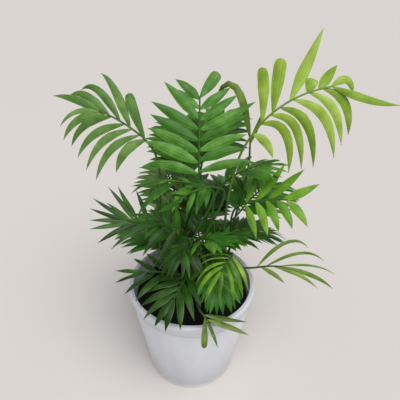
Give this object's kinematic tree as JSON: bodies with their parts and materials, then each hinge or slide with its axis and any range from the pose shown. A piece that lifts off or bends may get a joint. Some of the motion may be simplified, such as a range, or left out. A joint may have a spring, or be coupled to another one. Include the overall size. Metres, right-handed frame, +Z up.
{
  "type": "potted bamboo palm",
  "caption": "Small clumping palm with arching feather fronds on slender green canes, standing in a tapering white plastic pot filled with dark potting mix.",
  "frame": {"origin": "centre of the pot's flat underside", "axes": "+Z up; -Y towards the side that the picture shows, +X to its right"},
  "size_m": [0.3293, 0.2481, 0.44],
  "materials": {
    "white_plastic": "smooth white moulded plastic, satin",
    "potting_mix": "dark crumbly potting mix, matt",
    "cane_bark": "green ringed cane, satin",
    "leaf_young": "bright yellow-green young leaf, satin",
    "leaf_mid": "mid green leaf, satin",
    "leaf_deep": "deep green leaf, satin",
    "leaf_dusky": "grey-green leaf, satin",
    "leaf_lime": "lime green leaf, satin",
    "leaf_dark": "dark green leaf, satin",
    "leaf_olive": "olive green leaf, satin"
  },
  "bodies": {
    "root": {"cane_1": "cane_bark", "cane_2": "cane_bark", "cane_3": "cane_bark", "cane_4": "cane_bark", "cane_5": "cane_bark", "cane_6": "cane_bark", "cane_7": "cane_bark", "cane_8": "cane_bark", "cane_9": "cane_bark", "frond_centre": "leaf_deep", "frond_front_left_low": "leaf_dark", "frond_front_middle": "leaf_dark", "frond_front_pale": "leaf_mid", "frond_front_right_low": "leaf_lime", "frond_front_right_under": "leaf_mid", "frond_inner_1": "leaf_mid", "frond_inner_2": "leaf_deep", "frond_inner_3": "leaf_dark", "frond_inner_4": "leaf_dusky", "frond_inner_5": "leaf_mid", "frond_left_high": "leaf_dusky", "frond_left_inner": "leaf_mid", "frond_left_low": "leaf_dark", "frond_left_middle": "leaf_dark", "frond_low_back_1": "leaf_mid", "frond_low_back_2": "leaf_deep", "frond_low_back_3": "leaf_dark", "frond_low_back_4": "leaf_dusky", "frond_low_back_5": "leaf_mid", "frond_middle_back_1": "leaf_mid", "frond_middle_back_2": "leaf_deep", "frond_middle_back_3": "leaf_dark", "frond_middle_back_4": "leaf_dusky", "frond_right_high": "leaf_young", "frond_right_inner": "leaf_deep", "frond_right_low": "leaf_olive", "frond_right_middle": "leaf_young", "frond_rim": "leaf_mid", "frond_top_back_1": "leaf_mid", "frond_top_back_2": "leaf_deep", "frond_young_spear": "leaf_olive", "pot": "white_plastic", "potting_mix": "potting_mix"}
  },
  "joints": []
}
